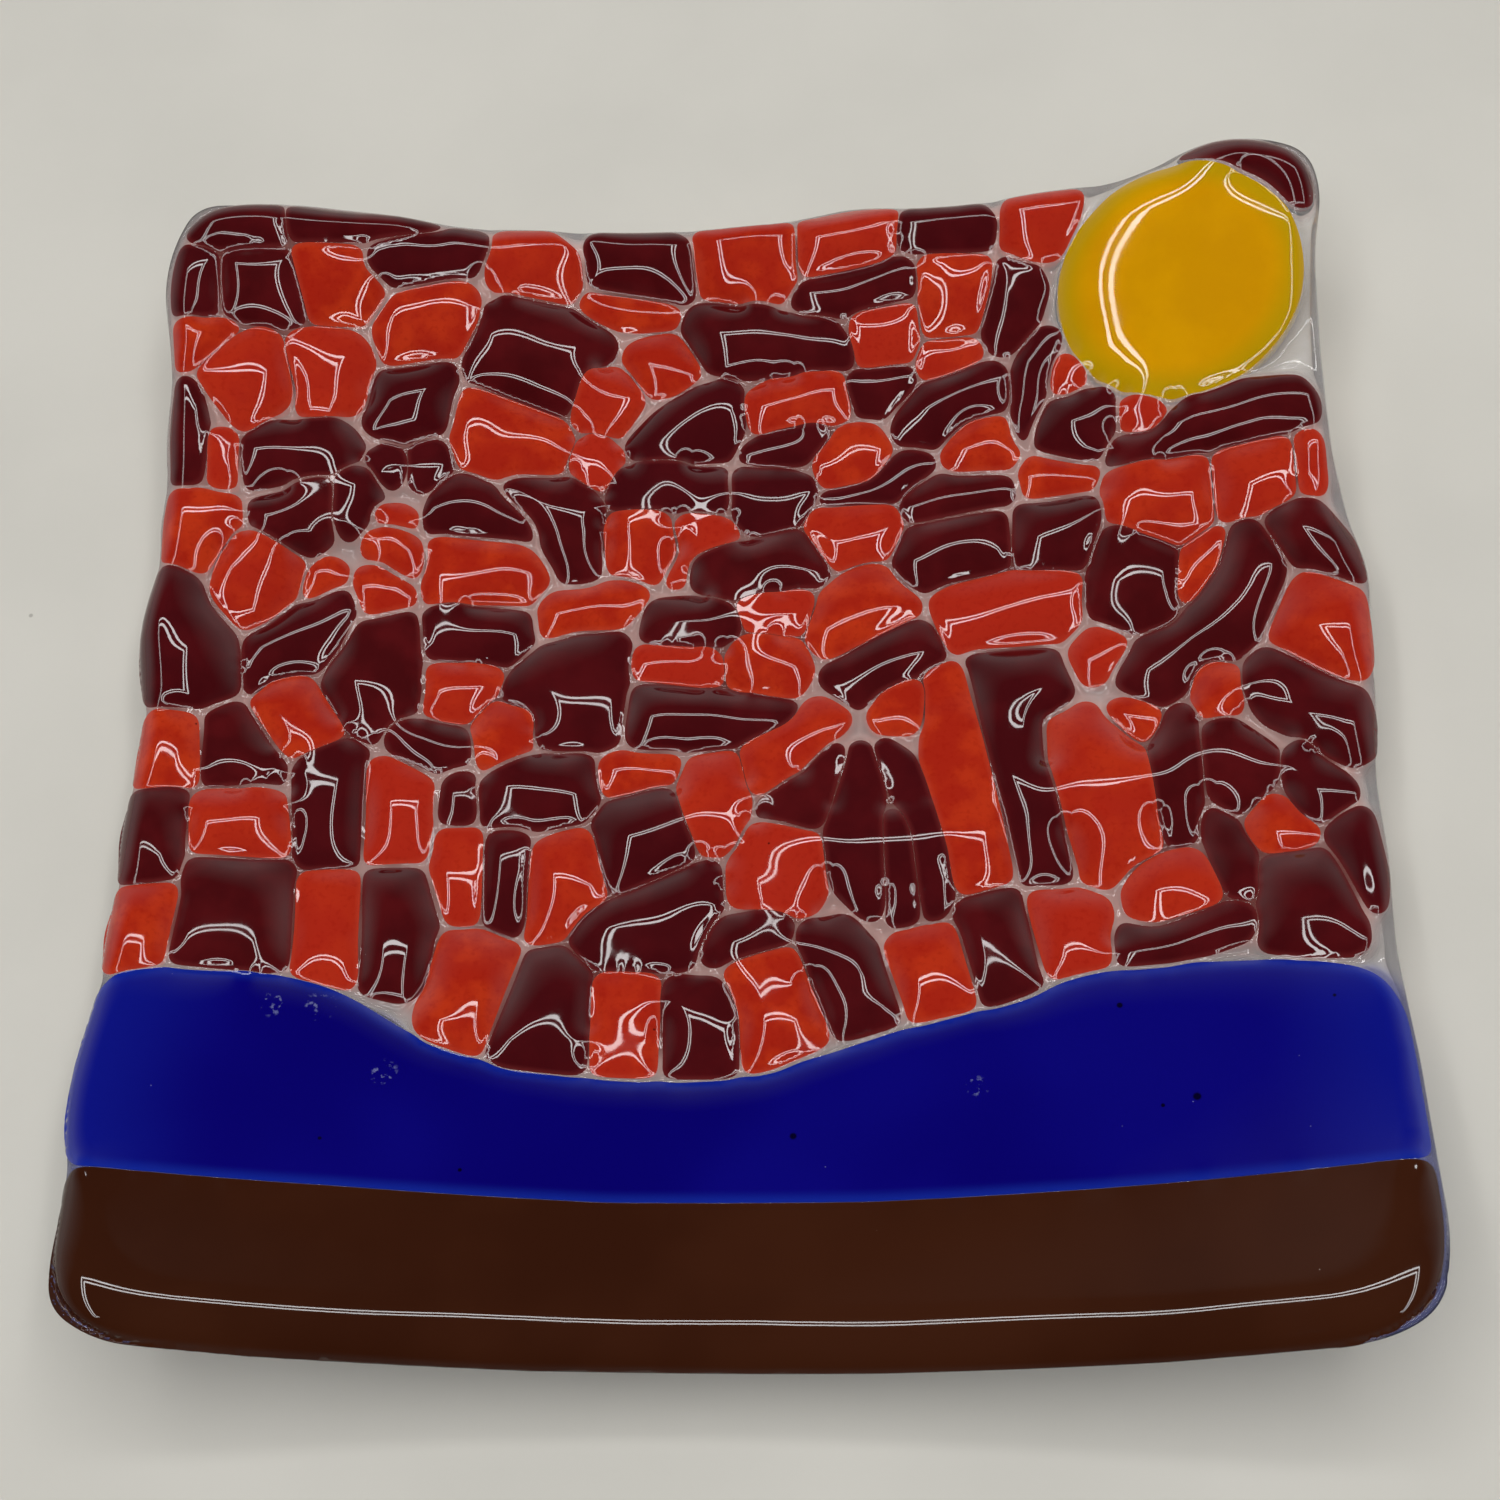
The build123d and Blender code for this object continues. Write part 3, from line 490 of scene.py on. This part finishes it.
def clear_sheet():
    """The clear base sheet: it fills the seams between the pieces, and its rim is rounded."""
    row = int(2 * BASE_HALF / BASE_STEP) + 1
    line = np.linspace(-1, 1, row)
    across, along = (axis.ravel() for axis in np.meshgrid(line, line))
    angle = np.arctan2(along, across)
    edge = in_angle_order(base_outline)
    edge_angle = np.arctan2(edge[:, 1], edge[:, 0])
    edge_radius = np.interp(angle, edge_angle, np.hypot(*edge.T), period=2 * math.pi)
    stretch = edge_radius * np.maximum(abs(np.cos(angle)), abs(np.sin(angle)))
    flat = np.column_stack([across, along]) * stretch[:, None]
    top = np.column_stack([flat, sampled(clear_height, flat)])
    index = np.arange(row * row).reshape(row, row)
    rim = np.concatenate([index[0, :-1], index[:-1, -1], index[-1, :0:-1], index[:0:-1, 0]])
    top[rim, 2] = profile(np.hypot(*flat[rim].T), RIM_LIFT)
    faces = np.column_stack([index[:-1, :-1].ravel(), index[:-1, 1:].ravel(),
                             index[1:, 1:].ravel(), index[1:, :-1].ravel()]).tolist()
    normals = surface_normals(clear_slopes, flat)
    outward = flat[rim] / np.hypot(*flat[rim].T)[:, None]
    normals[rim] = np.column_stack([outward, np.zeros(len(rim))])

    points, count, last = [top], len(top), rim
    rim_flat = flat[rim]
    rim_radius = np.hypot(*rim_flat.T)
    for inset in UNDER_RINGS:
        ring = rim_flat * ((rim_radius - inset) / rim_radius)[:, None]
        lift = RIM_LIFT * (1 - quarter_round(np.array(inset), BASE_EDGE))
        points.append(np.column_stack([ring, profile(np.hypot(*ring.T), lift)]))
        this = count + np.arange(len(rim))
        faces += np.column_stack([last, this, np.roll(this, -1), np.roll(last, -1)]).tolist()
        run = np.maximum(np.hypot(*ring.T) - FOOT_RADIUS, 0) / CURVE_RADIUS
        roll = math.pi / 2 * max(1 - inset / BASE_EDGE, 0)
        lean = np.clip(np.arcsin(run) + roll, 0, math.pi / 2)
        new_normals = np.column_stack([outward * np.sin(lean)[:, None], -np.cos(lean)])
        normals = np.vstack([normals, new_normals])
        last, count = this, count + len(rim)
    points.append(np.zeros((1, 3)))
    normals = np.vstack([normals, [(0, 0, -1)]])
    faces += np.column_stack([last, np.full(len(rim), count), np.roll(last, -1)]).tolist()
    points = np.vstack(points)
    values = dict(beside_chips=sampled(beside_chips, points[:, :2]),
                  beside_panels=sampled(beside_panels, points[:, :2]))
    return new_object("clear_base_glass", points, faces, normals, values)


# ---- materials ----
GLASS_IOR = 1.52


class Nodes:
    """The nodes of one material, with short ways to add and join them."""

    def __init__(self, name):
        self.material = bpy.data.materials.new(name)
        self.material.use_nodes = True
        self.tree = self.material.node_tree
        self.shader = self.tree.nodes["Principled BSDF"]
        self.output = self.tree.nodes["Material Output"]
        self.place = self.add("ShaderNodeTexCoord").outputs["Object"]

    def add(self, kind, inputs=None, **settings):
        node = self.tree.nodes.new(kind)
        for name, value in settings.items():
            setattr(node, name, value)
        for name, value in (inputs or {}).items():
            self.put(value, node.inputs[name])
        return node

    def put(self, value, socket):
        """A socket takes either another node's output or a plain value."""
        if isinstance(value, bpy.types.NodeSocket):
            self.tree.links.new(value, socket)
        else:
            socket.default_value = value

    def noise(self, size, detail):
        """A cloudy pattern whose patches are about size millimetres wide."""
        inputs = {"Vector": self.place, "Scale": 1 / (size * MM), "Detail": detail}
        return self.add("ShaderNodeTexNoise", inputs).outputs["Fac"]

    def between(self, value, low, high):
        """0 where the value is below low, 1 where it is above high, and smooth in between."""
        node = self.add("ShaderNodeMapRange", {"Value": value, "From Min": low, "From Max": high})
        node.interpolation_type = "SMOOTHSTEP"
        return node.outputs["Result"]

    def times(self, a, b):
        """The product of two values."""
        node = self.add("ShaderNodeMath", operation="MULTIPLY")
        self.put(a, node.inputs[0])
        self.put(b, node.inputs[1])
        return node.outputs["Value"]

    def mix(self, share, a, b):
        """Colour a, with colour b in its place by the given share."""
        node = self.add("ShaderNodeMix", data_type="RGBA")
        self.put(share, node.inputs["Factor"])
        self.put(a, node.inputs[6])
        self.put(b, node.inputs[7])
        return node.outputs[2]

    def value(self, name):
        """One of the numbers that the mesh holds for each of its points."""
        return self.add("ShaderNodeAttribute", attribute_name=name).outputs["Fac"]

    def near(self, x, y, radius):
        """1 at a place on the dish, and 0 beyond the radius from it."""
        flat = self.add("ShaderNodeMapping", {"Vector": self.place, "Scale": (1, 1, 0)})
        ends = {0: flat.outputs["Vector"], 1: (x * MM, y * MM, 0)}
        away = self.add("ShaderNodeVectorMath", ends, operation="DISTANCE")
        return self.between(away.outputs["Value"], radius * MM, radius * MM / 2)

    def specks(self, spacing, size, share):
        """Small round specks, size across, in a share of the cells of the given spacing."""
        cells = self.add("ShaderNodeTexVoronoi", {"Vector": self.place, "Scale": 1 / (spacing * MM)})
        near = self.between(cells.outputs["Distance"], size / spacing, size / spacing / 2)
        chosen = self.add("ShaderNodeSeparateColor", {"Color": cells.outputs["Color"]}).outputs["Red"]
        sharp = 0.01
        return self.times(near, self.between(chosen, 1 - share, 1 - share + sharp))

    def bump(self, height, distance):
        """Relief in the surface, the given distance high."""
        node = self.add("ShaderNodeBump", {"Height": height, "Distance": distance * MM, "Strength": 1.0})
        self.put(node.outputs["Normal"], self.shader.inputs["Normal"])


def colour(red, green, blue):
    """An opaque colour as a socket takes it."""
    return red, green, blue, 1.0


def polished(nodes, base_colour):
    """The fire-polished surface that all the glass has: hard gloss, faintly smeared and rippled."""
    nodes.put(base_colour, nodes.shader.inputs["Base Color"])
    smear = nodes.between(nodes.noise(9, 3), 0.35, 0.75)
    roughness = nodes.add("ShaderNodeMapRange", {"Value": smear, "To Min": 0.02, "To Max": 0.05})
    nodes.put(roughness.outputs["Result"], nodes.shader.inputs["Roughness"])
    nodes.shader.inputs["IOR"].default_value = GLASS_IOR
    nodes.bump(nodes.noise(2.2, 1), 0.003)


def red_glass():
    """Orange-red glass: cloudy, brighter in places, pinker where it thins out at its edge."""
    nodes = Nodes("red_glass")
    cloud = nodes.between(nodes.noise(6, 4), 0.38, 0.66)
    body = nodes.mix(cloud, colour(0.40, 0.017, 0.006), colour(0.52, 0.036, 0.008))
    toned = nodes.mix(nodes.between(nodes.value("tone"), 0.2, 1.0), body, colour(0.44, 0.022, 0.009))
    grain = nodes.between(nodes.noise(0.9, 3), 0.5, 0.7)
    mottled = nodes.mix(nodes.times(grain, 0.35), toned, colour(0.34, 0.008, 0.003))
    thin = nodes.between(nodes.value("depth"), 1.0, 0.0)
    edged = nodes.mix(nodes.times(thin, 0.35), mottled, colour(0.5, 0.06, 0.03))
    seeded = nodes.mix(nodes.specks(4.5, 0.3, 0.12), edged, colour(0.1, 0.005, 0.003))
    polished(nodes, seeded)
    return nodes.material


def maroon_glass():
    """Deep wine-red glass, a little redder where light gets in at its edge."""
    nodes = Nodes("maroon_glass")
    cloud = nodes.between(nodes.noise(8, 3), 0.35, 0.7)
    body = nodes.mix(cloud, colour(0.064, 0.0035, 0.0048), colour(0.096, 0.0052, 0.0068))
    toned = nodes.mix(nodes.times(nodes.value("tone"), 0.6), body, colour(0.056, 0.003, 0.0055))
    thin = nodes.between(nodes.value("depth"), 0.9, 0.0)
    edged = nodes.mix(nodes.times(thin, 0.5), toned, colour(0.16, 0.02, 0.02))
    dust = nodes.mix(nodes.specks(3.5, 0.12, 0.1), edged, colour(0.4, 0.3, 0.3))
    polished(nodes, dust)
    return nodes.material


def blue_glass():
    """Cobalt glass, lighter where it thins out, with a painted sheen towards the dish's rim, and with
    seeds, dust and a few pale smudges.
    """
    nodes = Nodes("blue_glass")
    cloud = nodes.between(nodes.noise(45, 2), 0.35, 0.65)
    body = nodes.mix(cloud, colour(0.002, 0.0, 0.15), colour(0.003, 0.0015, 0.185))
    # Painted sheen: lighter blue towards the rim, where the panel would reflect the bright room.
    painted_rim_sheen = nodes.mix(nodes.between(nodes.value("rim"), 24.0, 2.0), body, colour(0.004, 0.007, 0.23))
    thin = nodes.between(nodes.value("depth"), 2.0, 0.0)
    edged = nodes.mix(nodes.times(thin, 0.6), painted_rim_sheen, colour(0.008, 0.03, 0.36))
    seeded = nodes.mix(nodes.specks(9, 0.4, 0.12), edged, colour(0.002, 0.001, 0.03))
    for x, y, size in SEEDS:
        seeded = nodes.mix(nodes.near(x, y, size), seeded, colour(0.001, 0.0, 0.02))
    dust = nodes.mix(nodes.specks(2.6, 0.13, 0.12), seeded, colour(0.15, 0.15, 0.4))
    patchy = nodes.between(nodes.noise(1.1, 4), 0.56, 0.66)
    for x, y, size in SMUDGES:
        smudge = nodes.times(nodes.times(nodes.near(x, y, size), patchy), 0.5)
        dust = nodes.mix(smudge, dust, colour(0.25, 0.27, 0.5))
    polished(nodes, dust)
    return nodes.material


def brown_glass():
    """Dark brown glass with dust on it."""
    nodes = Nodes("brown_glass")
    cloud = nodes.between(nodes.noise(35, 3), 0.35, 0.65)
    body = nodes.mix(cloud, colour(0.040, 0.0095, 0.0035), colour(0.052, 0.0135, 0.0052))
    dust = nodes.mix(nodes.specks(3.4, 0.13, 0.12), body, colour(0.3, 0.22, 0.18))
    polished(nodes, dust)
    return nodes.material


def yellow_glass():
    """Golden yellow glass, greener and darker towards its rounded edge."""
    nodes = Nodes("yellow_glass")
    cloud = nodes.between(nodes.noise(14, 3), 0.35, 0.65)
    body = nodes.mix(cloud, colour(0.66, 0.295, 0.0), colour(0.73, 0.335, 0.0))
    thin = nodes.between(nodes.value("depth"), 3.6, 1.2)
    edged = nodes.mix(nodes.times(thin, 0.85), body, colour(0.50, 0.31, 0.002))
    seeded = nodes.mix(nodes.specks(7, 0.3, 0.15), edged, colour(0.25, 0.09, 0.0))
    polished(nodes, seeded)
    return nodes.material


def clear_glass():
    """Clear glass with painted light in it: a pink tint beside the red pieces, a darker red painted
    shade in the narrow seams between them, and a blue tint beside the blue panel stand in for the light
    that these pieces send into it. It lets light through to what lies under it, which a shadow ray can't
    do through a refracting surface."""
    nodes = Nodes("clear_glass")
    cloud = nodes.between(nodes.noise(5, 3), 0.3, 0.7)
    beside_chips_share = nodes.between(nodes.value("beside_chips"), 0.15, 0.7)
    clean = nodes.mix(cloud, colour(0.86, 0.84, 0.82), colour(0.92, 0.91, 0.90))
    # Painted light: pink where light from the red pieces comes through the clear glass, a dark red
    # painted shade in the narrow seams between them, and blue beside the blue panel.
    painted_red_light = nodes.mix(beside_chips_share, clean, colour(0.74, 0.47, 0.43))
    narrow = nodes.between(nodes.value("beside_chips"), 0.75, 0.95)
    painted_seam_shade = nodes.mix(narrow, painted_red_light, colour(0.27, 0.07, 0.06))
    away_from_red = nodes.between(nodes.value("beside_chips"), 0.3, 0.0)
    near_blue = nodes.between(nodes.value("beside_panels"), 0.0, 0.4)
    painted_blue_light_share = nodes.times(away_from_red, near_blue)
    polished(nodes, nodes.mix(painted_blue_light_share, painted_seam_shade, colour(0.34, 0.36, 0.74)))
    clearness = nodes.add("ShaderNodeMapRange", {"Value": beside_chips_share, "To Min": 0.8, "To Max": 0.5})
    nodes.put(clearness.outputs["Result"], nodes.shader.inputs["Transmission Weight"])
    light = nodes.add("ShaderNodeLightPath").outputs["Is Shadow Ray"]
    through = nodes.add("ShaderNodeBsdfTransparent", {"Color": colour(0.85, 0.8, 0.78)})
    both = nodes.add("ShaderNodeMixShader", {"Fac": light})
    nodes.put(nodes.shader.outputs["BSDF"], both.inputs[1])
    nodes.put(through.outputs["BSDF"], both.inputs[2])
    nodes.put(both.outputs["Shader"], nodes.output.inputs["Surface"])
    return nodes.material


def tabletop():
    """A pale matt table top with faint clouds and specks."""
    nodes = Nodes("tabletop")
    cloud = nodes.between(nodes.noise(60, 4), 0.3, 0.7)
    body = nodes.mix(cloud, colour(0.64, 0.622, 0.565), colour(0.68, 0.66, 0.60))
    specks = nodes.mix(nodes.specks(14, 0.5, 0.15), body, colour(0.42, 0.40, 0.36))
    nodes.put(specks, nodes.shader.inputs["Base Color"])
    nodes.shader.inputs["Roughness"].default_value = 0.75
    nodes.bump(nodes.noise(1.2, 3), 0.01)
    return nodes.material


# ---- the dish ----
def add_glass(glass, material, node):
    """One object of glass takes the place of its CAD node."""
    glass.data.materials.append(material)
    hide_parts(node)
    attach(glass, "root")


MATERIALS = dict(red=red_glass(), maroon=maroon_glass(), blue=blue_glass(), brown=brown_glass(),
                 yellow=yellow_glass())
for node in sorted({piece["node"] for piece in pieces}):
    kind = node.split("_")[0]
    add_glass(coloured_node(node), MATERIALS[kind], node)
add_glass(clear_sheet(), clear_glass(), "clear_base_sheet")


# ---- table, light and camera ----
def add_table():
    """A wide table top just under the foot, in metres."""
    half = 3.0
    below_foot = 0.0003
    corners = [(-half, -half), (half, -half), (half, half), (-half, half)]
    mesh = bpy.data.meshes.new("table")
    mesh.from_pydata([(x, y, -below_foot) for x, y in corners], [], [(0, 1, 2, 3)])
    table = bpy.data.objects.new("table", mesh)
    bpy.context.scene.collection.objects.link(table)
    mesh.materials.append(tabletop())


def area_light(name, place, target, size, watts):
    """A rectangular light, in metres, that faces the target."""
    light = bpy.data.lights.new(name, "AREA")
    light.shape = "RECTANGLE"
    light.size, light.size_y = size
    light.energy = watts
    thing = bpy.data.objects.new(name, light)
    thing.location = place
    thing.rotation_euler = (Vector(target) - Vector(place)).to_track_quat("-Z", "Y").to_euler()
    bpy.context.scene.collection.objects.link(thing)
    return thing


def add_lights():
    """A square ring of double light strips overhead, and a wide soft light that fills the shadows.
    An onlooker hides the middle of the near side of the ring from the brown strip."""
    height = 1.5
    half = 0.62             # half the width of the ring
    beside = 0.045          # how far each strip of a pair lies from the line between them
    strip_width = 0.035
    strip_radiance = 12.0
    corner = 0.1            # how much of the near side shows beside the onlooker at each end
    behind = bpy.data.collections.new("behind_the_onlooker")
    behind.objects.link(bpy.data.objects["brown_ground_strip_glass"])
    behind.collection_objects[0].light_linking.link_state = "EXCLUDE"

    def strip(name, place, size):
        watts = strip_radiance * math.pi * size[0] * size[1]
        return area_light(name, place, (place[0], place[1], 0), size, watts)

    for offset in (-beside, beside):
        reach = half + offset
        strip(f"far_{offset}", (0, reach, height), (2 * reach, strip_width))
        near = strip(f"near_{offset}", (0, -reach, height), (2 * (reach - corner), strip_width))
        near.light_linking.receiver_collection = behind
        for side in (-1, 1):
            strip(f"side_{side}_{offset}", (side * reach, 0, height), (strip_width, 2 * reach))
            middle = side * (reach - corner / 2)
            strip(f"near_{side}_{offset}", (middle, -reach, height), (corner, strip_width))
    fill = area_light("fill", (0, -0.2, 2.2), (0, 0, 0), size=(2.8, 2.8), watts=30)
    fill.visible_glossy = False


def add_world():
    """A room: dim overhead, bright towards its far walls, darker where the onlooker stands. A camera
    sees an even pale grey."""
    world = bpy.data.worlds.new("room")
    bpy.context.scene.world = world
    world.use_nodes = True
    tree = world.node_tree
    background = tree.nodes["Background"]
    background.inputs["Color"].default_value = (1.0, 0.99, 0.97, 1.0)
    parts = tree.nodes.new("ShaderNodeSeparateXYZ")
    direction = tree.nodes.new("ShaderNodeTexCoord").outputs["Generated"]
    tree.links.new(direction, parts.inputs["Vector"])

    def mapped(value, start, end, at_start, at_end):
        node = tree.nodes.new("ShaderNodeMapRange")
        tree.links.new(value, node.inputs["Value"])
        numbers = {"From Min": start, "From Max": end, "To Min": at_start, "To Max": at_end}
        for name, number in numbers.items():
            node.inputs[name].default_value = number
        return node.outputs["Result"]

    brightness = tree.nodes.new("ShaderNodeMath")
    brightness.operation = "MULTIPLY"
    by_height = mapped(parts.outputs["Z"], start=0.3, end=0.74, at_start=0.55, at_end=0.02)
    by_side = mapped(parts.outputs["Y"], start=-0.5, end=0.2, at_start=0.25, at_end=1.0)
    tree.links.new(by_height, brightness.inputs[0])
    tree.links.new(by_side, brightness.inputs[1])
    choose = tree.nodes.new("ShaderNodeMix")
    seen = tree.nodes.new("ShaderNodeLightPath").outputs["Is Camera Ray"]
    tree.links.new(seen, choose.inputs["Factor"])
    tree.links.new(brightness.outputs["Value"], choose.inputs[2])
    choose.inputs[3].default_value = 0.62
    tree.links.new(choose.outputs[0], background.inputs["Strength"])


def add_camera():
    """The camera looks down from in front of the dish. Its place is in metres, its lens in millimetres
    and its turn in radians."""
    camera = bpy.data.cameras.new("camera")
    camera.lens = 56.447
    camera.sensor_width = 36.0
    thing = bpy.data.objects.new("camera", camera)
    thing.location = (0.0301522, -0.1667857, 0.3534729)
    thing.rotation_euler = (0.4442, 0.0827, 0.0012)
    bpy.context.scene.collection.objects.link(thing)
    bpy.context.scene.camera = thing


add_table()
add_lights()
add_world()
add_camera()
bpy.context.scene.view_settings.view_transform = "Standard"
